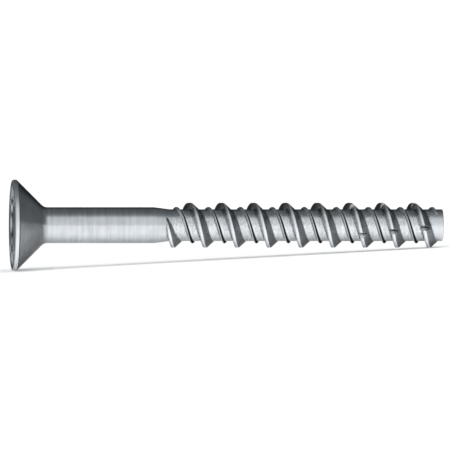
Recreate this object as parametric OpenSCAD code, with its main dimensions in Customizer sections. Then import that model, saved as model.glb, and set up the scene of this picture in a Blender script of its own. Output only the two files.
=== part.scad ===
// Concrete screw with a countersunk head and a hexalobular drive recess.
// One piece of steel: turned head and shank, rolled coarse thread with cutting notches.
// It lies at rest on z = 0, head at -X and plain end at +X. Millimetres and degrees.

/* [Overall] */
// Length from the face of the head to the plain end
screw_l = 95; // [85:0.5:115]

/* [Head] */
// Diameter of the head
head_d = 20; // [17:0.1:23]
// Height of the upright rim
rim_h = 1; // [0.6:0.05:1.8]
// Radius of the rounded edge between face and rim
face_edge_r = 0.4; // [0.2:0.05:0.55]
// Full angle of the countersunk cone
cone_angle = 90; // [80:1:100]
// Radius that blends the cone into the shank
neck_r = 2; // [1:0.1:3.5]

/* [Drive recess] */
// Across the lobes
drive_across = 8.95; // [8.2:0.05:9.6]
// Across the waists between the lobes
drive_waist = 6.4; // [6.1:0.05:6.9]
// Radius of a lobe's tip
drive_lobe_r = 0.7; // [0.55:0.05:0.85]
// Depth to the flat floor
drive_depth = 4.7; // [4.4:0.1:5.4]
// Width of the chamfer at the mouth
drive_mouth = 0.3; // [0.1:0.05:0.5]

/* [Shank] */
// Diameter of the plain shank
shank_d = 7.9; // [7.5:0.05:8.6]
// Where the plain shank ends, from the face
shank_end = 31.3; // [24:0.1:45]
// Length of the taper from shank to core
taper_l = 3.5; // [2.5:0.1:5]

/* [Thread] */
// Diameter of the core between the ridges
core_d = 7; // [6.3:0.05:7.3]
// Diameter over the crests
thread_d = 9.87; // [9:0.05:10.8]
// Advance in one turn
pitch = 7.06; // [6.2:0.02:8]
// Width of the crest
crest_w = 0.7; // [0.5:0.05:1.1]
// Run of the steep flank on the head's side
head_flank = 0.4; // [0.3:0.05:0.8]
// Run of the long flank on the end's side
end_flank = 1.55; // [1.1:0.05:1.8]
// From the plain end back to the last crest that meets the table
last_crest = 2.9; // [2.2:0.05:4]

/* [Low ridge] */
// Height over the core
low_h = 0.54; // [0.2:0.02:0.6]
// Width at its foot
low_w = 1; // [0.7:0.05:1.4]
// Place after the main crest, as a share of the pitch
low_at = 0.59; // [0.54:0.01:0.64]

/* [Cutting notches] */
// How many, counted back from the end
notch_n = 11; // [4:1:16]
// Width along the crest
notch_w = 0.95; // [0.6:0.05:1.3]
// Depth below the crest
notch_depth = 1; // [0.5:0.05:1.3]
// Turn from one notch to the next
notch_step = 87.25; // [84:0.25:88]

/* [Hidden] */

steel = [0.62, 0.64, 0.66];
head_r = head_d / 2;
shank_r = shank_d / 2;
core_r = min(core_d / 2, shank_r - 0.1);
crest_h = thread_d / 2 - core_r;

// How the turned section is rounded
edge_steps = 5;
neck_steps = 9;
lobe_steps = 5;
waist_steps = 5;

// The cone meets the shank here, before the blend
half_cone = cone_angle / 2;
cone_end = rim_h + (head_r - shank_r) / tan(half_cone);
neck_reach = neck_r * tan(half_cone / 2);
// The taper runs on a little inside the core
taper_drop = (shank_r - core_r) / taper_l;
taper_sink = 0.3;

// The thread is a skin of slanted columns, one set for each gap between two notches.
// A column rises by one turn less the drift for each turn of the thread.
notches_a_turn = 4;
columns_a_notch = 10;
columns = notches_a_turn * columns_a_notch;
column_turn = notches_a_turn * notch_step;
drift = 360 - column_turn;
notch_half = 360 * (notch_w / 2) / (PI * thread_d);
column_gap = (notch_step - 2 * notch_half) / (columns_a_notch - 2);

// Section of the thread over one pitch, as places along it and heights over the core.
// It starts on the bare core, just past the long flank of the main ridge.
crest_at = pitch - end_flank - crest_w / 2 - 0.15;
low_mid = crest_at + low_at * pitch - pitch;
low_top = 0.16 * low_w;
section = [
    [0, 0, 0],
    [low_mid - low_w / 2, 0, 0],
    [low_mid - low_top / 2, 0, low_h],
    [low_mid + low_top / 2, 0, low_h],
    [low_mid + low_w / 2, 0, 0],
    [crest_at - crest_w / 2 - head_flank, 0, 0],
    [crest_at - crest_w / 2 - 0.1 * head_flank, 0.88 * crest_h, 0],
    [crest_at - crest_w / 2 + 0.08 * crest_w, crest_h, 0],
    [crest_at + crest_w / 2, crest_h, 0],
    [crest_at + crest_w / 2 + 0.8 * end_flank, 0.14 * crest_h, 0],
    [crest_at + crest_w / 2 + end_flank, 0, 0],
];
marks = len(section);

// The skin starts inside the taper and ends at the plain end
skin_from = shank_end + 0.3 * taper_l;
skin_to = screw_l;
crest_end = screw_l - last_crest;
skin_zero = crest_end - crest_at;

// The main ridge grows over a third of a turn, behind a plane cut on the taper.
// Both ridges fade out behind the last crest.
run_in_from = shank_end + 0.67 * taper_l;
run_in_l = 0.3;
grow_from = shank_end + 0.4 * taper_l;
grow_l = pitch / 3;
main_fade_from = 20;
main_fade_to = 95;
low_run_in_from = shank_end + taper_l + 0.4;
low_run_in_l = 0.5;
low_fade_from = 205;
low_fade_to = 250;

// Turn of the last notch's crest, seen from the crest that meets the table
last_notch = -86.2;
column_zero = last_notch + drift * crest_at / pitch;

// The resting pose: the rim's lower corner and the last crest are on the table
rest_run = crest_end + crest_w / 2 - rim_h;
rest_tilt = atan((head_r - thread_d / 2) / rest_run);
rest_z = head_r * cos(rest_tilt) + rim_h * sin(rest_tilt);
rest_x_min = face_edge_r * cos(rest_tilt) - (head_r - face_edge_r) * sin(rest_tilt) - face_edge_r;
rest_x_max = screw_l * cos(rest_tilt) + core_r * sin(rest_tilt);

function arc(mid, r, from, to, steps) =
    [for (i = [0:steps]) mid + r * [cos(from + (to - from) * i / steps), sin(from + (to - from) * i / steps)]];

function share(value, from, to) = min(1, max(0, (value - from) / (to - from)));

// Turn of a column's foot, in degrees
function column_at(a) =
    let (whole = floor(a / columns_a_notch), step = a % columns_a_notch)
    column_zero + whole * notch_step
    + (step == 0 ? 0 : notch_half + (step - 1) * column_gap);

// A mark is counted on through the turns of its column; turn 0 holds the last crest
function mark_turn(q) = floor(q / marks);
function mark_section(q) = section[q - marks * floor(q / marks)];
function mark_foot(a, q) = column_at(a) + column_turn * mark_turn(q);
function mark_angle(a, q) = mark_foot(a, q) - drift * mark_section(q)[0] / pitch;
function mark_z(a, q) =
    skin_zero + pitch * mark_foot(a, q) / 360 + mark_section(q)[0] * (1 - drift / 360);

// Is this column's crest cut by a notch in this turn?
function crest_turn(a, q) = mark_foot(a, q) - drift * crest_at / pitch;
function notch_back(a, q) = round((last_notch - crest_turn(a, q)) / notch_step);
function notched(a, q) =
    a % columns_a_notch == 0 && notch_back(a, q) >= 0 && notch_back(a, q) < notch_n;

function main_height(a, q) =
    let (
        h = mark_section(q)[1],
        cut = notched(a, q) ? min(h, max(0, crest_h - notch_depth)) : h,
        fade = 1 - share(crest_turn(a, q), main_fade_from, main_fade_to),
        crest_z = crest_end + pitch * crest_turn(a, q) / 360,
        grown = share(crest_z, grow_from, grow_from + grow_l)
    )
    cut * fade * grown * share(mark_z(a, q), run_in_from, run_in_from + run_in_l);

function low_height(a, q) =
    let (fade = 1 - share(crest_turn(a, q), low_fade_from, low_fade_to))
    mark_section(q)[2] * fade
    * share(mark_z(a, q), low_run_in_from, low_run_in_from + low_run_in_l);

function at(r, turn, z) = [r * cos(turn), r * sin(turn), z];

function mark_point(a, q) =
    at(core_r + main_height(a, q) + low_height(a, q), mark_angle(a, q), mark_z(a, q));

// Where a column meets the flat ends of the skin
function end_angle(a, z) =
    let (run = z - skin_zero - pitch * column_at(a) / 360)
    column_at(a) - drift * run / (1 - drift / 360) / pitch;

// First and last mark of a column inside the skin's length
near_end = 0.05;
most_marks = marks * ceil(screw_l / pitch + 4);
function first_mark(a, q) = mark_z(a, q) > skin_from + near_end ? q : first_mark(a, q + 1);
function last_mark(a, q) = mark_z(a, q) < skin_to - near_end ? q : last_mark(a, q - 1);
firsts = [for (a = [0:columns - 1]) first_mark(a, -most_marks)];
lasts = [for (a = [0:columns - 1]) last_mark(a, 3 * marks)];
sizes = [for (a = [0:columns - 1]) lasts[a] - firsts[a] + 3];

// Points are stored column by column: the start, the marks, the end
function total(list, n) = n == 0 ? 0 : total(list, n - 1) + list[n - 1];
starts = [for (a = [0:columns]) total(sizes, a)];
skin_points = [
    for (a = [0:columns - 1])
        for (i = [0:sizes[a] - 1])
            i == 0 ? at(core_r, end_angle(a, skin_from), skin_from)
            : i == sizes[a] - 1 ? at(core_r, end_angle(a, skin_to), skin_to)
            : mark_point(a, firsts[a] + i - 1),
    [0, 0, skin_from],
    [0, 0, skin_to],
];
start_mid = starts[columns];
end_mid = start_mid + 1;

// The next column round; after the last one the first comes again, one turn on
function next(a) = (a + 1) % columns;
function next_shift(a) = a + 1 == columns ? marks : 0;
function start_of(a) = starts[a];
function end_of(a) = starts[a] + sizes[a] - 1;
function mark_of(a, q) = starts[a] + 1 + q - firsts[a];

function strip(a) =
    let (
        b = next(a),
        s = next_shift(a),
        lo = firsts[a],
        hi = lasts[a],
        b_lo = firsts[b] - s,
        b_hi = lasts[b] - s
    )
    concat(
        [[start_mid, start_of(b), start_of(a)]],
        [[start_of(a), start_of(b), mark_of(b, b_lo + s)]],
        [for (q = [b_lo:1:lo - 1]) [start_of(a), mark_of(b, q + s), mark_of(b, q + 1 + s)]],
        [[start_of(a), mark_of(b, lo + s), mark_of(a, lo)]],
        [for (q = [lo:1:b_hi - 1]) [mark_of(a, q), mark_of(b, q + s), mark_of(b, q + 1 + s)]],
        [for (q = [lo:1:b_hi - 1]) [mark_of(a, q), mark_of(b, q + 1 + s), mark_of(a, q + 1)]],
        [[mark_of(a, b_hi), mark_of(b, b_hi + s), end_of(b)]],
        [for (q = [b_hi:1:hi - 1]) [mark_of(a, q), end_of(b), mark_of(a, q + 1)]],
        [[mark_of(a, hi), end_of(b), end_of(a)]],
        [[end_mid, end_of(a), end_of(b)]]
    );

module threaded_part() {
    faces = [for (a = [0:columns - 1]) each strip(a)];
    // faces are listed anticlockwise from outside, and stored the other way round
    polyhedron(points = skin_points, faces = [for (f = faces) [f[2], f[1], f[0]]], convexity = 6);
}

module turned_part() {
    neck_mid = [shank_r + neck_r, cone_end + neck_reach];
    profile = concat(
        [[0, 0]],
        arc([head_r - face_edge_r, face_edge_r], face_edge_r, -90, 0, edge_steps),
        [[head_r, rim_h]],
        arc(neck_mid, neck_r, 180 + half_cone, 180, neck_steps),
        [[shank_r, shank_end]],
        [[core_r - taper_sink, shank_end + (shank_r - core_r + taper_sink) / taper_drop]],
        [[0, shank_end + (shank_r - core_r + taper_sink) / taper_drop]]
    );
    rotate_extrude($fn = 96) polygon(profile);
}

// Six lobes joined by six waists, each blending into the next
module drive_section() {
    lobe_mid = drive_across / 2 - drive_lobe_r;
    waist = drive_waist / 2;
    spread = lobe_mid * lobe_mid + waist * waist - sqrt(3) * lobe_mid * waist - drive_lobe_r * drive_lobe_r;
    waist_r = spread / (2 * (drive_lobe_r - waist + lobe_mid * sqrt(3) / 2));
    waist_mid = waist + waist_r;
    lean = atan2(waist_mid * sin(30), waist_mid * cos(30) - lobe_mid);
    outline = [
        for (k = [0:5])
            for (p = concat(
                arc([lobe_mid, 0], drive_lobe_r, -lean, lean, lobe_steps),
                [for (i = [1:waist_steps - 1])
                    let (turn = 180 + lean + (60 - 2 * lean) * i / waist_steps)
                    [waist_mid * cos(30), waist_mid * sin(30)] + waist_r * [cos(turn), sin(turn)]]
            ))
                [p[0] * cos(60 * k) - p[1] * sin(60 * k), p[0] * sin(60 * k) + p[1] * cos(60 * k)]
    ];
    polygon(outline);
}

module drive_recess() {
    mouth_r = drive_across / 2 + drive_mouth;
    translate([0, 0, -1]) linear_extrude(height = drive_depth + 1) drive_section();
    // chamfer at the mouth
    translate([0, 0, -1]) cylinder(h = 1 + drive_mouth, r1 = mouth_r + 1, r2 = mouth_r - drive_mouth, $fn = 96);
    // shallow cone left by the punch
    translate([0, 0, drive_depth - 0.01]) cylinder(h = 1, r1 = drive_waist / 2 - 0.4, r2 = 0.2, $fn = 48);
}

module screw() {
    color(steel)
    translate([-(rest_x_min + rest_x_max) / 2, 0, rest_z])
    rotate([0, 90 + rest_tilt, 0])
    union() {
        difference() {
            turned_part();
            drive_recess();
        }
        threaded_part();
    }
}

screw();
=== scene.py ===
"""A concrete screw of plated steel, lying on a white table.

The head, the shank and the plain end are turned as one open blank. A Geometry Nodes
tree rolls the thread on to it and closes the skin. Lengths are in millimetres until the
finished screw is laid on the table, and angles are in degrees where a name says so.
"""

import math

import bmesh
import bpy
from mathutils import Matrix, Vector


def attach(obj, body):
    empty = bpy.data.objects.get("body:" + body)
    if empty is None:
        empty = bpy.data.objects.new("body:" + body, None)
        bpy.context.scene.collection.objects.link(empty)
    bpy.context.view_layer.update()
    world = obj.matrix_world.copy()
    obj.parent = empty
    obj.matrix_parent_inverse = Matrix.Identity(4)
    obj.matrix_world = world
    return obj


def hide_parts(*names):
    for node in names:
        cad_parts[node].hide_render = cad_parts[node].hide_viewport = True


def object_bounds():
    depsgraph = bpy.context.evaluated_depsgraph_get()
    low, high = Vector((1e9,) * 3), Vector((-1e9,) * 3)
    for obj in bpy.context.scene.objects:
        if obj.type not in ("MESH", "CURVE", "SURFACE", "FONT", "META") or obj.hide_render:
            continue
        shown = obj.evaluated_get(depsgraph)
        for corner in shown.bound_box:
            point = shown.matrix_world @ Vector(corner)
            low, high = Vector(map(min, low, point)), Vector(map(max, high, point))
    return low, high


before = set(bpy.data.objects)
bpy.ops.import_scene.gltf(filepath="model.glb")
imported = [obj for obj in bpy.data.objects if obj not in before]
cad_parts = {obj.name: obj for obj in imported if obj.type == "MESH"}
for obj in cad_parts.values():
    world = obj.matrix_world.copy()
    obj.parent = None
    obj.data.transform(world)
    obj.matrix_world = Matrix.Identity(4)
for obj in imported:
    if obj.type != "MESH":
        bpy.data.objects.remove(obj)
cad_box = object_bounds()

MM = 0.001

# Sizes of the screw, in mm
SCREW_L = 95.0
HEAD_R = 9.995
RIM_H = 1.0
FACE_EDGE_R = 0.4
RIM_EDGE_R = 0.12
NECK_R = 2.0
HALF_CONE = math.radians(45)
SHANK_R = 3.95
SHANK_END = 31.3
TAPER_L = 3.5
CORE_R = 3.49
CREST_R = 4.93
PITCH = 7.06
LAST_CREST = 2.9
END_EDGE = 0.15

# The skin of the thread starts a little before the taper
SKIN_LEAD = 0.6
SKIN_START = SHANK_END - SKIN_LEAD

# The lobed drive recess, in mm
DRIVE_LOBE_R = 0.7
DRIVE_ACROSS = 8.95
DRIVE_WAIST = 6.4
DRIVE_DEPTH = 4.7
DRIVE_MOUTH = 0.3
PUNCH_DEPTH = 5.69
PUNCH_R = 2.8

# Rounded edges of the recess: inset from its wall, then distance from its floor or its mouth, in mm
FLOOR_EDGE = ((0.18, 0.0), (0.05, 0.05), (0.0, 0.18))
MOUTH_EDGE = ((0.0, 0.14), (-0.03, 0.06))

# The ledge and the bevel between the lobes and the face, in mm
MOUTH_FLARE = 0.1
MOUTH_STEP = 0.02
FACE_BREAK = 0.04
FACE_LAP = 0.05

# A shallow ring pressed into the face, with plain ticks in two arcs that stand up to the face again
SUNK = 0.18
SUNK_FROM_R = 5.5
SUNK_TO_R = 9.15
SUNK_RAMP = 0.12
TICK_FROM_R = 6.2
TICK_TO_R = 8.6
TICK_RAMP = 0.15

# The ticks' step, half width and steepness, in columns of faces, and half an arc, in degrees
TICK_EVERY = 9
TICK_HALF = 1
TICK_STEEP = 0.8
TICK_ARC = 62

# How much shade is painted on each place, from 0, bright plating, to 1, near black and matte
FACE_SHADE = 0.74
BORDER_SHADE = 0.85
EDGE_SHADE = 0.8
TICK_SHADE = 0.2
RECESS_SHADE = 0.6
WAIST_SHADE = 0.8
LOBE_SHADE = 0.97
UNDER_RIM_SHADE = 1.0
CONE_SHADE = 0.63
END_SHADE = 0.3

# How much highlight, partly wear, is painted on each place, from 0, none, to 1, white
TICK_WEAR_AND_HIGHLIGHT = 0.35
RIM_WEAR_AND_HIGHLIGHT = 0.8
MOUTH_WEAR_AND_HIGHLIGHT = 0.65
BARE_END_HIGHLIGHT = 0.55

# Powers by which the painted shade fades and the painted highlight, partly wear, grows over the rounded edge
# of the face
EDGE_FADE = 1.5
EDGE_WEAR_AND_HIGHLIGHT = 2

# Columns of faces round the screw, and how the rings are spaced
COLUMNS = 144
ARC_STEPS = 6
NECK_STEPS = 12
CONE_STEPS = 24
CONE_EVERY = 4
SHANK_STEPS = 12
HUB_R = 0.25
END_BEND = (0.05, 0.04)
END_SHARES = (0.66, 0.33)

# The resting pose, from the two places that touch the table: the rim and the last crest
TOUCH_R = 4.935
TOUCH_PAST_CREST = 0.35
REST_RUN = SCREW_L - LAST_CREST + TOUCH_PAST_CREST - RIM_H
REST_TILT = math.atan((HEAD_R - TOUCH_R) / REST_RUN)
REST_Z = HEAD_R * math.cos(REST_TILT) + RIM_H * math.sin(REST_TILT)
REST_X = cad_box[0].x / MM
REST_X += (HEAD_R - FACE_EDGE_R) * math.sin(REST_TILT)
REST_X += FACE_EDGE_R * (1 - math.cos(REST_TILT))
REST = (
    Matrix.Translation(Vector((REST_X, 0, REST_Z)) * MM)
    @ Matrix.Rotation(math.pi / 2 + REST_TILT, 4, "Y")
    @ Matrix.Scale(MM, 4)
)


# The turned blank


def arc_points(mid, radius, start, stop, steps):
    """Points on an arc in the section plane, as (distance from the axis, distance from the face)."""
    turns = [start + (stop - start) * i / steps for i in range(steps + 1)]
    return [(mid[0] + radius * math.cos(t), mid[1] + radius * math.sin(t)) for t in turns]


def between(start, stop, steps):
    """Points between two places, without the places themselves."""
    shares = [i / steps for i in range(1, steps)]
    return [(start[0] + (stop[0] - start[0]) * s, start[1] + (stop[1] - start[1]) * s) for s in shares]


def lobed_radius(turn):
    """Distance from the axis to the wall of the drive recess."""
    lobe_mid = DRIVE_ACROSS / 2 - DRIVE_LOBE_R
    waist = DRIVE_WAIST / 2
    spread = lobe_mid**2 + waist**2 - math.sqrt(3) * lobe_mid * waist - DRIVE_LOBE_R**2
    waist_r = spread / (2 * (DRIVE_LOBE_R - waist + lobe_mid * math.sqrt(3) / 2))
    waist_mid = waist + waist_r
    lean = math.atan2(waist_mid / 2, waist_mid * math.sqrt(3) / 2 - lobe_mid)
    touch = math.atan2(DRIVE_LOBE_R * math.sin(lean), lobe_mid + DRIVE_LOBE_R * math.cos(lean))
    sixth = math.pi / 3
    off = (turn + sixth / 2) % sixth - sixth / 2
    if abs(off) <= touch:
        return lobe_mid * math.cos(off) + math.sqrt(DRIVE_LOBE_R**2 - (lobe_mid * math.sin(off)) ** 2)
    off = abs(off) - sixth / 2
    return waist_mid * math.cos(off) - math.sqrt(waist_r**2 - (waist_mid * math.sin(off)) ** 2)


def in_lobe(turn):
    """How far the drive's wall stands out, from 0 at a waist to 1 at a lobe."""
    return (2 * lobed_radius(turn) - DRIVE_WAIST) / (DRIVE_ACROSS - DRIVE_WAIST)


def plain_ring(radius, depth, painted_shade=0.0, wear_and_highlight=0.0):
    """A round ring. Each of its points holds radius, depth, how much shade and how much highlight, partly
    wear, are painted on the steel, and how many columns the point is moved round the ring.
    """
    return [(radius, depth, painted_shade, wear_and_highlight, 0.0)] * COLUMNS


def lobed_ring(inset, depth, most=HEAD_R):
    """A ring of the drive recess, with painted shade that is darkest in its lobes."""
    ring = []
    for k in range(COLUMNS):
        turn = 2 * math.pi * k / COLUMNS
        painted_shade = WAIST_SHADE + (LOBE_SHADE - WAIST_SHADE) * in_lobe(turn)
        ring.append((min(lobed_radius(turn) - inset, most), depth, painted_shade, 0.0, 0.0))
    return ring


def mouth_ring(radius, depth):
    """A ring of the bevel round the drive's mouth, with the face's painted shade and, between the lobes, a
    painted highlight that is partly wear.
    """
    waists = [1 - in_lobe(2 * math.pi * k / COLUMNS) for k in range(COLUMNS)]
    return [(radius, depth, FACE_SHADE, MOUTH_WEAR_AND_HIGHLIGHT * waist, 0.0) for waist in waists]


def tick_ring(radius):
    """A ring of the pressed one that rises where a tick crosses it.

    A bare band is left at each side, between the two arcs of ticks.
    """
    ring = []
    for k in range(COLUMNS):
        turn = 360 * k / COLUMNS
        from_mid = abs((turn + 90) % 180 - 90)
        off_tick = (k + TICK_EVERY // 2) % TICK_EVERY - TICK_EVERY // 2
        # A tick has little painted shade and a painted highlight, partly wear; the pressed ring beside it
        # has the face's painted shade
        if from_mid < TICK_ARC and abs(off_tick) <= TICK_HALF:
            ring.append((radius, 0, TICK_SHADE, TICK_WEAR_AND_HIGHLIGHT, 0.0))
            continue
        beside = abs(off_tick) == TICK_HALF + 1
        nearer = -math.copysign(TICK_STEEP, off_tick) if beside else 0.0
        ring.append((radius, SUNK, FACE_SHADE, 0.0, nearer))
    return ring


def recess_rings():
    """Rings from the middle of the drive recess to its mouth."""
    mouth_r = DRIVE_ACROSS / 2 + DRIVE_MOUTH
    # The recess is painted in shade, darkest in its lobes; its mouth has a painted highlight, partly wear,
    # between the lobes
    rings = [
        plain_ring(HUB_R, PUNCH_DEPTH, RECESS_SHADE),
        plain_ring(PUNCH_R / 2, (PUNCH_DEPTH + DRIVE_DEPTH) / 2, RECESS_SHADE),
        plain_ring(PUNCH_R, DRIVE_DEPTH, RECESS_SHADE),
    ]
    rings += [lobed_ring(inset, DRIVE_DEPTH - up) for inset, up in FLOOR_EDGE]
    rings += [lobed_ring(0, DRIVE_DEPTH / 2)]
    rings += [lobed_ring(inset, DRIVE_MOUTH + down) for inset, down in MOUTH_EDGE]
    rings += [
        lobed_ring(-MOUTH_FLARE, DRIVE_MOUTH + MOUTH_STEP, mouth_r - DRIVE_MOUTH - MOUTH_STEP),
        mouth_ring(mouth_r - DRIVE_MOUTH + MOUTH_STEP, DRIVE_MOUTH),
        mouth_ring(mouth_r - FACE_BREAK, FACE_BREAK),
        plain_ring(mouth_r + FACE_LAP, 0, FACE_SHADE),
    ]
    return rings


def face_rings():
    """Rings over the face, from the recess to the rounded edge."""
    # The face is painted in shade, darker at its border and lighter on the ticks
    rings = [
        plain_ring(SUNK_FROM_R, 0, FACE_SHADE),
        plain_ring(SUNK_FROM_R + SUNK_RAMP, SUNK, FACE_SHADE),
        plain_ring(TICK_FROM_R, SUNK, FACE_SHADE),
        tick_ring(TICK_FROM_R + TICK_RAMP),
        tick_ring(TICK_TO_R - TICK_RAMP),
        plain_ring(TICK_TO_R, SUNK, FACE_SHADE),
        plain_ring(SUNK_TO_R - SUNK_RAMP, SUNK, FACE_SHADE),
        plain_ring(SUNK_TO_R, 0, BORDER_SHADE),
    ]
    edge = arc_points((HEAD_R - FACE_EDGE_R, FACE_EDGE_R), FACE_EDGE_R, -math.pi / 2, 0, ARC_STEPS)
    # Over the rounded edge the painted shade fades and a painted highlight, partly wear, grows
    for i, point in enumerate(edge):
        rounded = i / ARC_STEPS
        painted_shade = EDGE_SHADE * (1 - rounded**EDGE_FADE)
        wear_and_highlight = RIM_WEAR_AND_HIGHLIGHT * rounded**EDGE_WEAR_AND_HIGHLIGHT
        rings.append(plain_ring(*point, painted_shade, wear_and_highlight))
    return rings


def cone_rings():
    """Rings from the rim, over the cone and the neck, to the end of the shank."""
    cone_end = RIM_H + (HEAD_R - SHANK_R) / math.tan(HALF_CONE)
    neck_mid = (SHANK_R + NECK_R, cone_end + NECK_R * math.tan(HALF_CONE / 2))
    rim_mid = (HEAD_R - RIM_EDGE_R, RIM_H - RIM_EDGE_R * math.tan(math.radians(90) / 2 - HALF_CONE / 2))
    under = arc_points(rim_mid, RIM_EDGE_R, 0, HALF_CONE, ARC_STEPS // 2)
    neck = arc_points(neck_mid, NECK_R, math.pi + HALF_CONE, math.pi, NECK_STEPS)
    cone = between(under[-1], neck[0], CONE_STEPS)[::CONE_EVERY]
    shank_stop = (SHANK_R, SKIN_START)
    shank = between(neck[-1], shank_stop, SHANK_STEPS) + [shank_stop]
    # The rim's edge has a painted highlight, partly wear; under the rim and on the cone shade is painted,
    # fading out over the neck
    rings = [plain_ring(*under[0], 0.0, RIM_WEAR_AND_HIGHLIGHT)]
    rings += [plain_ring(*point, UNDER_RIM_SHADE) for point in under[1:]]
    rings += [plain_ring(*point, CONE_SHADE) for point in cone]
    rings += [plain_ring(*point, CONE_SHADE * (1 - i / NECK_STEPS)) for i, point in enumerate(neck)]
    return rings + [plain_ring(*point) for point in shank]


def end_rings():
    """Rings from the last of the thread's skin to the middle of the plain end."""
    # The edge of the plain end has a painted highlight, and its flat end some painted shade
    edge = plain_ring(CORE_R, SCREW_L - END_EDGE, 0.0, BARE_END_HIGHLIGHT)
    outline = [(CORE_R - END_BEND[0], SCREW_L - END_BEND[1]), (CORE_R - END_EDGE, SCREW_L)]
    outline += [(CORE_R * share, SCREW_L) for share in END_SHARES]
    outline += [(HUB_R, SCREW_L)]
    return [edge] + [plain_ring(*point, END_SHADE) for point in outline]


def add_rings(bm, rings):
    """Joins rings of points into rows of faces, outside out, and returns the rows of vertices."""
    painted_shade_of = bm.verts.layers.float["painted_shade"]
    wear_and_highlight_of = bm.verts.layers.float["wear_and_highlight"]
    rows = []
    for ring in rings:
        row = []
        for k, (radius, depth, painted_shade, wear_and_highlight, moved) in enumerate(ring):
            turn = 2 * math.pi * (k + moved) / COLUMNS
            vert = bm.verts.new((radius * math.cos(turn), radius * math.sin(turn), depth))
            vert[painted_shade_of] = painted_shade
            vert[wear_and_highlight_of] = wear_and_highlight
            row.append(vert)
        rows.append(row)
    for low, high in zip(rows, rows[1:]):
        for k in range(COLUMNS):
            n = (k + 1) % COLUMNS
            bm.faces.new((low[k], low[n], high[n], high[k]))
    return rows


def close_row(bm, row, depth, outward):
    """Closes a row with a fan of triangles to a point on the axis."""
    mid = bm.verts.new((0, 0, depth))
    for k in range(COLUMNS):
        n = (k + 1) % COLUMNS
        bm.faces.new((row[k], row[n], mid) if outward else (row[n], row[k], mid))


def turned_blank():
    """The head, shank and plain end as one mesh, open where the thread goes."""
    bm = bmesh.new()
    bm.verts.layers.float.new("painted_shade")
    bm.verts.layers.float.new("wear_and_highlight")
    head = add_rings(bm, recess_rings() + face_rings() + cone_rings())
    close_row(bm, head[0], PUNCH_DEPTH, False)
    end = add_rings(bm, end_rings())
    close_row(bm, end[-1], SCREW_L, True)
    mesh = bpy.data.meshes.new("concrete_screw")
    bm.to_mesh(mesh)
    bm.free()
    return mesh


# Sums and colours in node trees


class Sums:
    """Writes sums as Math nodes in a tree. Each method takes sockets or numbers and gives a socket."""

    def __init__(self, tree):
        self.tree = tree

    def __call__(self, operation, *values):
        made = self.tree.nodes.new("ShaderNodeMath")
        made.operation = operation
        for socket, value in zip(made.inputs, values):
            fill(self.tree, socket, value)
        return made.outputs[0]

    def add(self, a, b):
        return self("ADD", a, b)

    def less(self, a, b):
        return self("SUBTRACT", a, b)

    def times(self, a, b):
        return self("MULTIPLY", a, b)

    def over(self, a, b):
        return self("DIVIDE", a, b)

    def least(self, a, b, blend=0.0):
        return self("SMOOTH_MIN", a, b, blend) if blend else self("MINIMUM", a, b)

    def most(self, a, b, blend=0.0):
        return self("SMOOTH_MAX", a, b, blend) if blend else self("MAXIMUM", a, b)

    def share(self, value, start, stop):
        """How far value is from start to stop, held between 0 and 1."""
        part = self.over(self.less(value, start), self.less(stop, start))
        return self.least(self.most(part, 0.0), 1.0)


def fill(tree, socket, value):
    """Links another socket to this one, or sets it to a plain value."""
    if isinstance(value, bpy.types.NodeSocket):
        tree.links.new(value, socket)
    else:
        socket.default_value = value


def two_tone(tree, value, places, colours):
    """A colour that goes from one tone to another as a value goes from one place to another."""
    made = tree.nodes.new("ShaderNodeValToRGB")
    for stop, place, colour in zip(made.color_ramp.elements, places, colours):
        stop.position = place
        stop.color = colour
    tree.links.new(value, made.inputs["Fac"])
    return made.outputs["Color"]


def mixed(tree, share, first, second, blend="MIX"):
    """A colour mixed from two others, which are sockets or plain colours."""
    made = tree.nodes.new("ShaderNodeMix")
    made.data_type = "RGBA"
    made.blend_type = blend
    fill(tree, made.inputs["Factor"], share)
    fill(tree, made.inputs["A"], first)
    fill(tree, made.inputs["B"], second)
    return made.outputs["Result"]


def noise(tree, place, detail, scale=1.0, stretch=None):
    """A soft noise. A stretch gives it a scale of its own along x, y and z."""
    if stretch:
        drawn = tree.nodes.new("ShaderNodeMapping")
        drawn.inputs["Scale"].default_value = stretch
        tree.links.new(place, drawn.inputs["Vector"])
        place = drawn.outputs[0]
    made = tree.nodes.new("ShaderNodeTexNoise")
    made.inputs["Scale"].default_value = scale
    made.inputs["Detail"].default_value = detail
    tree.links.new(place, made.inputs["Vector"])
    return made.outputs["Fac"]


# The rolled thread


THREAD_INPUTS = {
    "Start": SKIN_START,
    "End": SCREW_L - END_EDGE,
    "Shank Radius": SHANK_R,
    "Taper Start": SHANK_END,
    "Taper Slope": (SHANK_R - CORE_R) / TAPER_L,
    "Core Radius": CORE_R,
    "Pitch": PITCH,
    "Crest Height": CREST_R - CORE_R,
    "Crest Width": 0.72,
    # The width of the land's painted highlight, partly wear, in mm
    "Wear And Highlight Width": 0.46,
    "Head Flank": 0.4,
    "End Flank": 1.52,
    "Last Crest": SCREW_L - LAST_CREST,
    "First Turn": -3030.0,
    "Full Turn": -2910.0,
    "Run-In Start": 33.65,
    "Run-In Stop": 33.95,
    "Low Height": 0.54,
    "Low Width": 0.96,
    "Low Place": 0.594,
    "Notch Depth": 1.0,
    "Notch Step": 87.25,
    "Notch Half Turn": 6.5,
    "Last Notch": -86.2,
    "Notches": 11.0,
}

# Rows of faces on each stretch of the section, and how far past a bend its close rows reach, in mm
SECTION_ROWS = (5, 20, 4, 26, 5, 5)
BEND_SPARE = 0.16

# The ribbon reaches this far past the long flank, in mm, and this many turns past the last crest
BARE_CORE = 0.35
TURNS_AFTER = 2

# Where the ridges fade: in degrees past the last crest, or in mm past the taper's start or before the end
RUN_OUT_TURNS = (20.0, 95.0)
LOW_RUN_OUT_TURNS = (195.0, 225.0)
LOW_RUN_IN = (3.9, 4.4)
END_SINK = (0.05, 0.5)

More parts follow.
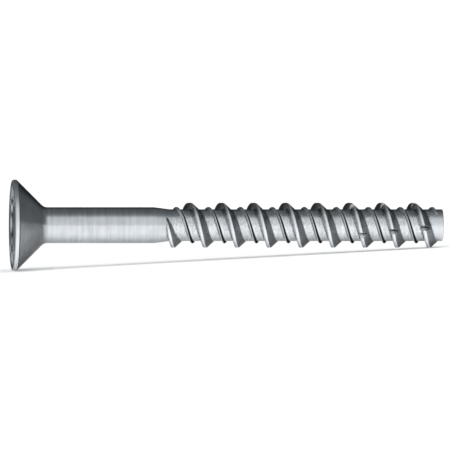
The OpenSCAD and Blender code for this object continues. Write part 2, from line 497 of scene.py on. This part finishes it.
# The share of its height from which the main ridge counts as there
RIDGE_THERE = 0.1

# How softly the section bends, in shares of a ridge's height, and the core into the taper, in mm
CREST_BLEND = 0.06
FOOT_BLEND = 0.16
LOW_CREST_BLEND = 0.25
LOW_FOOT_BLEND = 0.12
TAPER_BLEND = 0.05

# The share of the low ridge's half width that slopes
LOW_SLOPE = 0.84

# How much shade and how much highlight are painted on the thread, and how soft the edges of these masks are,
# in mm
HEAD_FLANK_SHADE = 0.34
END_FLANK_SHADE = 0.7
END_FOOT_MORE_SHADE = 0.08
NOTCH_SHADE = 0.4
LOW_HIGHLIGHT = 0.6
MASK_SOFT = 0.06

# Where the masks lie: how far from the low ridge's middle or past its foot, and past the crest, in mm
LOW_SHADE_FROM = 0.02
LOW_HIGHLIGHT_FROM = 0.06
LOW_FOOT_HIGHLIGHT = (0.08, 0.38)
LIT_WALL_PAST = 0.5

# A notch's mask is full at this depth, in mm, and its two walls, one with a painted highlight and one in
# painted shade, lie between these turns, in degrees
NOTCH_MASKED = 0.1
LIT_WALL_TURNS = (1.0, 3.0)
DARK_WALL_TURNS = (2.0, 0.0)

# Points of the skin closer than this are one, in mm
MERGE_WITHIN = 0.002


def thread_tree(material):
    """A tree that adds the rolled skin, with both ridges and the cutting notches, to a turned blank.

    The skin is a ribbon one pitch wide, wound on so that its edges meet. A point of the ribbon
    has a turn round the axis and a place along the thread's section. What would pass the two
    ends of the thread is drawn back on to the end rings and merged there.
    """
    tree = bpy.data.node_groups.new("Rolled thread", "GeometryNodeTree")
    tree.is_modifier = True
    tree.interface.new_socket("Geometry", in_out="INPUT", socket_type="NodeSocketGeometry")
    for name, value in THREAD_INPUTS.items():
        made = tree.interface.new_socket(name, in_out="INPUT", socket_type="NodeSocketFloat")
        made.default_value = value
    tree.interface.new_socket("Geometry", in_out="OUTPUT", socket_type="NodeSocketGeometry")
    new = tree.nodes.new
    link = tree.links.new
    given = new("NodeGroupInput").outputs
    do = Sums(tree)

    # The ribbon, before it is wound: x counts columns, y runs along the section
    turns_before = math.ceil((SCREW_L - SHANK_END) / PITCH) + 1
    rows = (turns_before + TURNS_AFTER) * COLUMNS
    ribbon = new("GeometryNodeMeshGrid")
    ribbon.inputs["Size X"].default_value = rows
    ribbon.inputs["Size Y"].default_value = 1.0
    ribbon.inputs["Vertices X"].default_value = rows + 1
    ribbon.inputs["Vertices Y"].default_value = sum(SECTION_ROWS) + 1
    place = new("ShaderNodeSeparateXYZ")
    link(new("GeometryNodeInputPosition").outputs[0], place.inputs[0])
    column = do("ROUND", do.add(place.outputs["X"], rows / 2 - turns_before * COLUMNS))
    turn = do.times(column, 360 / COLUMNS)
    across = do.add(place.outputs["Y"], 0.5)

    # The ribbon starts just past the long flank, so its edges lie on the bare core
    half_crest = do.over(given["Crest Width"], 2.0)
    crest_at = do.less(do.less(given["Pitch"], half_crest), do.add(given["End Flank"], BARE_CORE))
    low_at = do.add(crest_at, do.times(given["Pitch"], do.less(given["Low Place"], 1.0)))
    half_low = do.over(given["Low Width"], 2.0)
    head_edge = do.less(crest_at, half_crest)
    end_edge = do.add(crest_at, half_crest)

    # Rows lie closest where the section bends: on the low ridge, and from the steep flank to the crest
    low_reach = do.add(half_low, BEND_SPARE)
    bends = [0.0]
    bends += [do.less(low_at, low_reach), do.add(low_at, low_reach)]
    bends += [do.less(head_edge, do.add(given["Head Flank"], BEND_SPARE)), do.add(end_edge, BEND_SPARE)]
    bends += [do.less(do.add(end_edge, given["End Flank"]), BEND_SPARE), given["Pitch"]]
    along = 0.0
    row = 0
    for start, stop, steps in zip(bends, bends[1:], SECTION_ROWS):
        passed = do.share(across, row / sum(SECTION_ROWS), (row + steps) / sum(SECTION_ROWS))
        along = do.add(along, do.times(do.less(stop, start), passed))
        row += steps
    climb = do.times(given["Pitch"], do.over(turn, 360.0))
    depth = do.add(do.add(do.less(given["Last Crest"], crest_at), climb), along)

    # The main ridge: a steep flank, a crest and a long flank, rounded where they meet
    ended = do.less(1.0, do.share(turn, *RUN_OUT_TURNS))
    begun = do.share(turn, given["First Turn"], given["Full Turn"])
    begun = do.times(begun, do.share(depth, given["Run-In Start"], given["Run-In Stop"]))
    full = do.times(begun, ended)
    there = do.share(full, 0.0, RIDGE_THERE)
    rise = do.add(full, do.over(do.less(along, head_edge), given["Head Flank"]))
    fall = do.add(full, do.over(do.less(end_edge, along), given["End Flank"]))
    crest = do.most(do.least(do.least(rise, fall), full, CREST_BLEND), 0.0, FOOT_BLEND)
    crest = do.times(crest, there)

    # The low ridge between the turns
    off_low = do("ABSOLUTE", do.less(along, low_at))
    low = do.over(do.less(half_low, off_low), do.times(half_low, LOW_SLOPE))
    low = do.most(do.least(low, 1.0, LOW_CREST_BLEND), 0.0, LOW_FOOT_BLEND)
    low_begun = do.share(depth, *(do.add(given["Taper Start"], past) for past in LOW_RUN_IN))
    low_ended = do.less(1.0, do.share(turn, *LOW_RUN_OUT_TURNS))
    low_there = do.times(low_begun, low_ended)
    low = do.times(low, low_there)

    # The notches: the nearest one, snapped to a column, cuts a V across the crest
    back = do("ROUND", do.over(do.less(given["Last Notch"], turn), given["Notch Step"]))
    notch_at = do.less(given["Last Notch"], do.times(back, given["Notch Step"]))
    notch_at = do.times(do("ROUND", do.over(notch_at, 360 / COLUMNS)), 360 / COLUMNS)
    past_notch = do.less(turn, notch_at)
    off_notch = do.over(do("ABSOLUTE", past_notch), given["Notch Half Turn"])
    not_after = do("GREATER_THAN", back, -0.5)
    not_before = do("LESS_THAN", back, do.less(given["Notches"], 0.5))
    counted = do.times(not_after, not_before)
    cut = do.times(do.times(do.most(do.less(1.0, off_notch), 0.0), given["Notch Depth"]), counted)

    # Height over the axis; near the plain end the ridges sink into the core
    uncut = do.times(crest, given["Crest Height"])
    floor_of_cut = do.less(given["Crest Height"], cut)
    main_h = do.least(uncut, floor_of_cut)
    low_h = do.times(low, given["Low Height"])
    sink = do.share(depth, *(do.less(given["End"], before) for before in END_SINK))
    ridge_r = do.add(given["Core Radius"], do.times(do.add(main_h, low_h), sink))
    narrowed = do.times(do.less(depth, given["Taper Start"]), given["Taper Slope"])
    taper = do.least(given["Shank Radius"], do.less(given["Shank Radius"], narrowed), TAPER_BLEND)
    radius = do.most(taper, ridge_r, TAPER_BLEND)
    held = do.least(do.most(depth, given["Start"]), given["End"])

    def within(start, stop):
        """1 between two places along the section, with soft edges."""
        opened = do.share(along, do.less(start, MASK_SOFT), do.add(start, MASK_SOFT))
        return do.times(opened, do.share(along, do.add(stop, MASK_SOFT), do.less(stop, MASK_SOFT)))

    # Painted shade: on both flanks, darker at the foot of the long flank, on one wall of each notch and on
    # the low ridge's side towards the end
    in_notch = do.share(do.less(uncut, floor_of_cut), 0.0, NOTCH_MASKED)
    land_start = do.less(end_edge, given["Wear And Highlight Width"])
    head_start = do.less(head_edge, do.times(given["Head Flank"], full))
    flank_stop = do.add(end_edge, do.times(given["End Flank"], full))
    on_head = do.times(within(head_start, land_start), HEAD_FLANK_SHADE)
    on_flank = do.add(END_FLANK_SHADE, do.times(do.share(along, end_edge, flank_stop), END_FOOT_MORE_SHADE))
    on_flank = do.times(within(end_edge, flank_stop), on_flank)
    dark_wall = do.times(in_notch, do.share(past_notch, *DARK_WALL_TURNS))
    notched = do.times(do.times(within(head_start, flank_stop), dark_wall), NOTCH_SHADE)
    on_ridge = do.times(do.most(do.most(on_head, on_flank), notched), there)
    low_start = do.less(low_at, half_low)
    low_stop = do.add(low_at, half_low)
    painted_shade = do.most(on_ridge, do.times(within(do.add(low_at, LOW_SHADE_FROM), low_stop), low_there))

    # Painted highlights: on the lands, where they are partly wear, on the other wall of each notch, beside
    # the low ridge, and on the plain end
    on_land = do.times(do.times(within(land_start, end_edge), there), do.less(1.0, in_notch))
    lit_wall = do.times(in_notch, do.share(past_notch, *LIT_WALL_TURNS))
    lit_wall = do.times(within(head_start, do.add(end_edge, LIT_WALL_PAST)), lit_wall)
    lit_wall = do.times(lit_wall, there)
    by_low = do.times(within(low_start, do.less(low_at, LOW_HIGHLIGHT_FROM)), LOW_HIGHLIGHT)
    by_low = do.most(by_low, within(*(do.add(low_stop, past) for past in LOW_FOOT_HIGHLIGHT)))
    wear_and_highlight = do.most(do.most(on_land, lit_wall), do.times(by_low, low_there))
    wear_and_highlight = do.most(wear_and_highlight, do.times(do.less(1.0, low_ended), BARE_END_HIGHLIGHT))
    marked = ribbon
    for name, mask in (("painted_shade", painted_shade), ("wear_and_highlight", wear_and_highlight)):
        made = new("GeometryNodeStoreNamedAttribute")
        made.inputs["Name"].default_value = name
        link(marked.outputs[0], made.inputs["Geometry"])
        link(mask, made.inputs["Value"])
        marked = made

    # The ribbon is wound on, joined to the blank and merged with it
    wound = new("GeometryNodeSetPosition")
    spot = new("ShaderNodeCombineXYZ")
    angle = do("RADIANS", turn)
    link(do.times(radius, do("COSINE", angle)), spot.inputs["X"])
    link(do.times(radius, do("SINE", angle)), spot.inputs["Y"])
    link(held, spot.inputs["Z"])
    link(marked.outputs[0], wound.inputs["Geometry"])
    link(spot.outputs[0], wound.inputs["Position"])
    both = new("GeometryNodeJoinGeometry")
    link(wound.outputs[0], both.inputs[0])
    link(given["Geometry"], both.inputs[0])
    merged = new("GeometryNodeMergeByDistance")
    merged.inputs["Distance"].default_value = MERGE_WITHIN
    link(both.outputs[0], merged.inputs["Geometry"])
    whole = new("GeometryNodeRealizeInstances")
    link(merged.outputs[0], whole.inputs["Geometry"])
    dressed = new("GeometryNodeSetMaterial")
    dressed.inputs["Material"].default_value = material
    link(whole.outputs[0], dressed.inputs["Geometry"])
    link(dressed.outputs[0], new("NodeGroupOutput").inputs["Geometry"])
    return tree


# Edges that turn by more than this stay sharp
SHARP_EDGE = math.radians(38)


def concrete_screw(material):
    """The finished screw as one closed mesh, lying on the table."""
    blank = bpy.data.objects.new("blank", turned_blank())
    bpy.context.scene.collection.objects.link(blank)
    rolling = blank.modifiers.new("Rolled thread", "NODES")
    rolling.node_group = thread_tree(material)
    for item in rolling.node_group.interface.items_tree:
        if item.in_out == "INPUT" and item.name in THREAD_INPUTS:
            rolling[item.identifier] = THREAD_INPUTS[item.name]
    view = bpy.context.evaluated_depsgraph_get()
    mesh = bpy.data.meshes.new_from_object(blank.evaluated_get(view))
    bpy.data.objects.remove(blank)
    mesh.name = "concrete_screw_skin"
    mesh.transform(REST)
    mesh.shade_smooth()
    mesh.set_sharp_from_angle(angle=SHARP_EDGE)
    screw = bpy.data.objects.new("concrete_screw", mesh)
    bpy.context.scene.collection.objects.link(screw)
    return screw


# The finish


# Colours of the coat, of the painted shade and of the painted highlight, partly wear, and the metal's tint
# where it is seen edge on
ZINC_TONES = ((0.65, 0.682, 0.708, 1), (0.771, 0.801, 0.829, 1))
SHADE_TONES = ((0.014, 0.0155, 0.018, 1), (0.034, 0.037, 0.043, 1))
WEAR_AND_HIGHLIGHT_WHITE = (0.94, 0.965, 0.99, 1)
EDGE_TINT = (0.5, 0.5, 0.5, 1)

# Clouds in the coat and the painted shade: their scale per mm, and the noise between which the tones change
CLOUD_SCALE = 0.35
CLOUD_DETAIL = 3.0
ZINC_SPREAD = (0.3, 0.7)
SHADE_SPREAD = (0.35, 0.65)

# Scuffs on the thread: their scales per mm, their strength, and where they begin and end, in mm. Their
# middle is set low, so that they also lighten the thread as a whole, as painted light
SCUFF_STRETCH = (1.8, 1.8, 4.0)
SCUFF_DETAIL = 3.0
SCUFF_MIDDLE = 0.44
SCUFF_SHADE = 0.9
SCUFFED_FROM = (SHANK_END + 2.0, SHANK_END + 5.0)
SCUFFED_TO = (SCREW_L - 0.8, SCREW_L - 2.2)

# Marks that run round the axis: their scales per mm, and how they shade the coat
MARK_STRETCH = (0.12, 0.12, 2.0)
MARK_DETAIL = 4.0
MARK_SPREAD = (0.3, 0.7)
MARK_SHADES = (0.9, 1.07)

# Roughness of the steel, and what adds to it
STEEL_ROUGH = 0.18
MARK_ROUGH = 0.08
MATTE_ROUGH = 0.3
FACE_ROUGH = 0.4
WEAR_AND_HIGHLIGHT_ROUGH = 0.2

# How much shade is painted where the steel loses its metal shine, and how deep the rough face reaches, in mm
MATTE_FROM = (0.75, 0.9)
FACE_REACH = (0.35, 0.2)

# Relief of the marks and the scuffs
RELIEF_STRENGTH = 0.3
RELIEF_DISTANCE = 0.00002
MARK_RELIEF = 0.25
SCUFF_RELIEF = 14.0


def plated_steel():
    """Zinc-plated steel with a cloudy coat, fine marks round the axis, painted shade, and painted highlights
    that are partly wear.
    """
    material = bpy.data.materials.new("plated_steel")
    material.use_nodes = True
    tree = material.node_tree
    new = tree.nodes.new
    link = tree.links.new
    do = Sums(tree)
    steel = tree.nodes["Principled BSDF"]
    steel.inputs["Specular IOR Level"].default_value = 0.0
    steel.inputs["Specular Tint"].default_value = EDGE_TINT

    # Own frame of the screw: z along the axis from the face, in mm
    where = new("ShaderNodeTexCoord")
    own = new("ShaderNodeMapping")
    own.vector_type = "TEXTURE"
    own.inputs["Location"].default_value = REST.to_translation()
    own.inputs["Rotation"].default_value = REST.to_euler()
    own.inputs["Scale"].default_value = (MM, MM, MM)
    link(where.outputs["Object"], own.inputs["Vector"])
    place = own.outputs[0]
    parts = new("ShaderNodeSeparateXYZ")
    link(place, parts.inputs[0])
    depth = parts.outputs["Z"]

    # How much shade and how much highlight, partly wear, are painted on the steel, as the mesh says
    painted_shade = new("ShaderNodeAttribute")
    painted_shade.attribute_name = "painted_shade"
    wear_and_highlight = new("ShaderNodeAttribute")
    wear_and_highlight.attribute_name = "wear_and_highlight"

    # Cloudy zinc with fine marks, scuffed on the thread from rolling. The scuffs also lighten the thread as
    # a whole, as painted light
    clouds = noise(tree, place, CLOUD_DETAIL, scale=CLOUD_SCALE)
    scuffs = noise(tree, place, SCUFF_DETAIL, stretch=SCUFF_STRETCH)
    marks = noise(tree, place, MARK_DETAIL, stretch=MARK_STRETCH)
    threaded = do.times(do.share(depth, *SCUFFED_FROM), do.share(depth, *SCUFFED_TO))
    grain = do.times(do.times(do.less(scuffs, SCUFF_MIDDLE), threaded), SCUFF_SHADE)
    darkest, lightest = MARK_SHADES
    shade = do.add(do.times(do.share(marks, *MARK_SPREAD), lightest - darkest), darkest)
    zinc = two_tone(tree, clouds, ZINC_SPREAD, ZINC_TONES)
    coat = mixed(tree, 1.0, zinc, do.add(shade, grain), "MULTIPLY")

    # The painted shade colour, skin, over it, then the painted highlights, partly wear, on the crests, rim
    # and plain end
    skin = two_tone(tree, clouds, SHADE_SPREAD, SHADE_TONES)
    shaded = mixed(tree, painted_shade.outputs["Fac"], coat, skin)
    worn_and_lit = mixed(tree, wear_and_highlight.outputs["Fac"], shaded, WEAR_AND_HIGHLIGHT_WHITE)
    link(worn_and_lit, steel.inputs["Base Color"])

    # Where the painted shade is darkest there is no metal shine. It, the face and the painted highlights are
    # rougher than the rest
    matte = do.share(painted_shade.outputs["Fac"], *MATTE_FROM)
    link(do.less(1.0, matte), steel.inputs["Metallic"])
    rough = do.add(do.times(marks, MARK_ROUGH), STEEL_ROUGH)
    rough = do.add(rough, do.times(matte, MATTE_ROUGH))
    rough = do.add(rough, do.times(do.share(depth, *FACE_REACH), FACE_ROUGH))
    rough = do.add(rough, do.times(wear_and_highlight.outputs["Fac"], WEAR_AND_HIGHLIGHT_ROUGH))
    link(rough, steel.inputs["Roughness"])

    # Fine relief of the marks, and of the scuffs where the thread isn't painted in shade
    scuffed = do.times(do.times(scuffs, threaded), do.less(1.0, painted_shade.outputs["Fac"]))
    relief = new("ShaderNodeBump")
    relief.inputs["Strength"].default_value = RELIEF_STRENGTH
    relief.inputs["Distance"].default_value = RELIEF_DISTANCE
    height = do.add(do.times(marks, MARK_RELIEF), do.times(scuffed, SCUFF_RELIEF))
    link(height, relief.inputs["Height"])
    link(relief.outputs[0], steel.inputs["Normal"])
    return material


# The studio


# Half the width of the table in metres, its colour, and the share of its own light that the camera sees
TABLE_HALF = 15.0
TABLE_WHITE = (0.97, 0.97, 0.97, 1)
GLOW_WHITE = (1, 1, 1, 1)
GLOW_SHARE = 0.3

# Light over the screw, from the horizon behind it, at 0, to the horizon in front, at 1
HORIZON_PLACES = (0.008, 1.0)
HORIZON_COLOURS = ((0.9, 0.9, 0.9, 1), (0.78, 0.78, 0.79, 1))
PANEL_LEVELS = (
    (0.018, 0.03),
    (0.2, 0.06),
    (0.32, 0.115),
    (0.45, 0.125),
    (0.57, 0.17),
    (0.64, 0.3),
    (0.72, 0.68),
    (0.85, 0.7),
)

# Walls at the left and the right: levels at foot and top, how high they reach, and where they begin
LEFT_LEVELS = (0.95, 0.1)
RIGHT_LEVELS = (0.33, 0.25)
WALL_FOOT = 0.15
LEFT_TOP = 0.6
RIGHT_TOP = 0.5
LEFT_FROM = (-0.72, -0.9)
RIGHT_FROM = (0.45, 0.75)

# How much less red and more blue there is in a dark grey
LESS_RED = 0.07
MORE_BLUE = 0.04


def white_floor():
    """A big white table top that keeps the shadow.

    The camera and the metal see it a little lighter than it is lit, so that it looks white.
    """
    bm = bmesh.new()
    bmesh.ops.create_grid(bm, x_segments=1, y_segments=1, size=TABLE_HALF)
    mesh = bpy.data.meshes.new("floor")
    bm.to_mesh(mesh)
    bm.free()
    floor = bpy.data.objects.new("floor", mesh)
    bpy.context.scene.collection.objects.link(floor)
    material = bpy.data.materials.new("white_table")
    material.use_nodes = True
    tree = material.node_tree
    tree.nodes.clear()
    new = tree.nodes.new
    link = tree.links.new
    do = Sums(tree)
    matte = new("ShaderNodeBsdfDiffuse")
    matte.inputs["Color"].default_value = TABLE_WHITE
    glow = new("ShaderNodeEmission")
    glow.inputs["Color"].default_value = GLOW_WHITE
    rays = new("ShaderNodeLightPath").outputs
    seen = do.most(rays["Is Camera Ray"], rays["Is Glossy Ray"])
    seen = do.most(seen, rays["Is Transmission Ray"])
    mix = new("ShaderNodeMixShader")
    link(do.times(seen, GLOW_SHARE), mix.inputs["Fac"])
    link(matte.outputs[0], mix.inputs[1])
    link(glow.outputs[0], mix.inputs[2])
    link(mix.outputs[0], new("ShaderNodeOutputMaterial").inputs["Surface"])
    mesh.materials.append(material)


def cool_grey(level):
    """A grey with a little blue in it, more so where it is dark."""
    tint = 1 - level
    return (level * (1 - LESS_RED * tint), level, level * (1 + MORE_BLUE * tint), 1)


def studio_world():
    """A light front, a long dark panel from behind the screw to above it, and a wall at each side.

    The wall at the left is light at its foot, and the one at the right is darker.
    """
    world = bpy.data.worlds.new("studio")
    world.use_nodes = True
    bpy.context.scene.world = world
    tree = world.node_tree
    new = tree.nodes.new
    link = tree.links.new
    do = Sums(tree)
    where = new("ShaderNodeTexCoord")
    parts = new("ShaderNodeSeparateXYZ")
    link(where.outputs["Generated"], parts.inputs[0])
    right, back, up = parts.outputs
    swing = do.over(do("ARCTAN2", up, back), math.pi)
    panel = two_tone(tree, swing, HORIZON_PLACES, HORIZON_COLOURS)
    for place, level in PANEL_LEVELS:
        stop = panel.node.color_ramp.elements.new(place)
        stop.color = cool_grey(level)
    left_tones = [cool_grey(level) for level in LEFT_LEVELS]
    right_tones = [cool_grey(level) for level in RIGHT_LEVELS]
    left_wall = two_tone(tree, up, (WALL_FOOT, LEFT_TOP), left_tones)
    right_wall = two_tone(tree, up, (WALL_FOOT, RIGHT_TOP), right_tones)
    walls = mixed(tree, do("GREATER_THAN", right, 0.0), left_wall, right_wall)
    at_side = do.most(do.share(right, *LEFT_FROM), do.share(right, *RIGHT_FROM))
    link(mixed(tree, at_side, panel, walls), tree.nodes["Background"].inputs["Color"])


def key_light():
    """A wide, soft lamp from above and a little from the front, which gives the floor its shadow.

    The metal doesn't mirror it.
    """
    light = bpy.data.lights.new("key", "SUN")
    light.energy = 2.5
    light.angle = math.radians(70)
    lamp = bpy.data.objects.new("key", light)
    lamp.rotation_euler = (math.radians(6), 0, 0)
    lamp.visible_glossy = False
    bpy.context.scene.collection.objects.link(lamp)


def photo_camera():
    """A long lens from the side, turned a little to the head, with the screw's axis level in the picture."""
    pixels = 449
    px_mm = 0.2199
    face_px = 11.65
    axis_px = 224.7
    middle_px = (pixels - 1) / 2
    turn = math.radians(4.87)
    lift = math.radians(2.0)
    distance = 3500.0
    axis = Vector((math.cos(REST_TILT), 0, -math.sin(REST_TILT)))
    upright = Vector((math.sin(REST_TILT), 0, math.cos(REST_TILT)))
    front = math.cos(lift) * Vector((0, -1, 0)) + math.sin(lift) * upright
    back = math.cos(turn) * front - math.sin(turn) * axis
    right = math.cos(turn) * axis + math.sin(turn) * front
    up = back.cross(right)
    middle_u = (middle_px - face_px) * px_mm / math.cos(turn)
    target = Vector((REST_X, 0, REST_Z)) + middle_u * axis + (axis_px - middle_px) * px_mm * up
    lens = bpy.data.cameras.new("camera")
    lens.sensor_width = 36.0
    lens.lens = lens.sensor_width * distance / (pixels * px_mm)
    lens.clip_start = 0.05
    lens.clip_end = 60.0
    camera = bpy.data.objects.new("camera", lens)
    stand = Matrix.Translation((target + back * distance) * MM)
    aim = Matrix((right, up, back)).transposed().to_4x4()
    camera.matrix_world = stand @ aim
    bpy.context.scene.collection.objects.link(camera)
    bpy.context.scene.camera = camera


bpy.context.scene.view_settings.view_transform = "Standard"
photo_camera()
studio_world()
key_light()
white_floor()

screw = concrete_screw(plated_steel())
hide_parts("screw")
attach(screw, "root")
